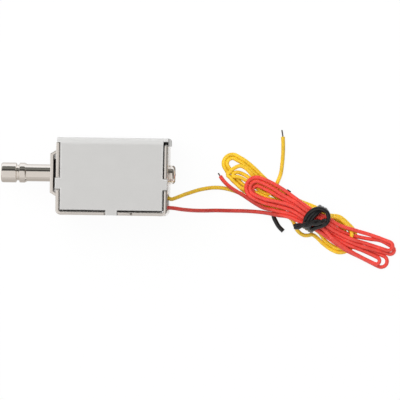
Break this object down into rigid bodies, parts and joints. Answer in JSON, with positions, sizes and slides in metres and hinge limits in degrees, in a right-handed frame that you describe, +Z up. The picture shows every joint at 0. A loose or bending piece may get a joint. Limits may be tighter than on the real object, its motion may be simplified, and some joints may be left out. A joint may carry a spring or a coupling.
{
  "type": "solenoid cabinet lock",
  "caption": "Small solenoid lock: spring-loaded round grooved tongue pulled back by a coil in a folded plated-steel box frame, with tied flying leads.",
  "frame": {"origin": "on the table, under the middle of the lock's box from the tongue's tip to the screw head, with the lock on one large face and the leads left out of that box", "axes": "+X along the tongue's axis from the tip into the body, +Y from the folded base to the top sheet, +Z up from the face it lies on to the face it shows"},
  "size_m": [0.1125, 0.0389, 0.018],
  "materials": {
    "plated_steel": "satin nickel plate on sheet steel",
    "polished_nickel": "turned and bright nickel plated",
    "nylon": "moulded black nylon",
    "enamelled_copper": "enamelled copper wire, wound in layers",
    "coil_tape": "polyester film tape",
    "brass": "drawn brass",
    "core_iron": "turned soft iron, zinc plated",
    "spring_steel": "drawn spring wire",
    "stop_rubber": "black rubber",
    "red_insulation": "extruded soft insulation",
    "yellow_insulation": "extruded soft insulation",
    "tinned_wire": "solder-tinned copper",
    "black_tie": "plastic-coated wire tie"
  },
  "bodies": {
    "body": {"yoke": "plated_steel", "cover": "plated_steel", "bobbin": "nylon", "coil_winding": "enamelled_copper", "coil_tape": "coil_tape", "terminal_pins": "tinned_wire", "guide_sleeve": "brass", "fixed_core": "core_iron", "gap_shim": "brass", "core_screw": "polished_nickel", "stop_washer": "stop_rubber", "return_spring": "spring_steel", "red_lead": "red_insulation", "red_hank": "red_insulation", "red_tail": "red_insulation", "red_tinned_end": "tinned_wire", "yellow_lead": "yellow_insulation", "yellow_hank": "yellow_insulation", "yellow_tail": "yellow_insulation", "yellow_tinned_end": "tinned_wire", "twist_tie": "black_tie", "tie_twisted_end": "black_tie", "tie_free_end": "black_tie"},
    "tongue": {"plunger": "polished_nickel"}
  },
  "joints": [
    {"name": "tongue_slide", "type": "slide", "parent": "body", "child": "tongue", "axis": [1, 0, 0], "range_m": [0, 0.006], "stiffness_N_per_m": 90, "springref_m": -0.006, "deforming": ["return_spring"]}
  ]
}
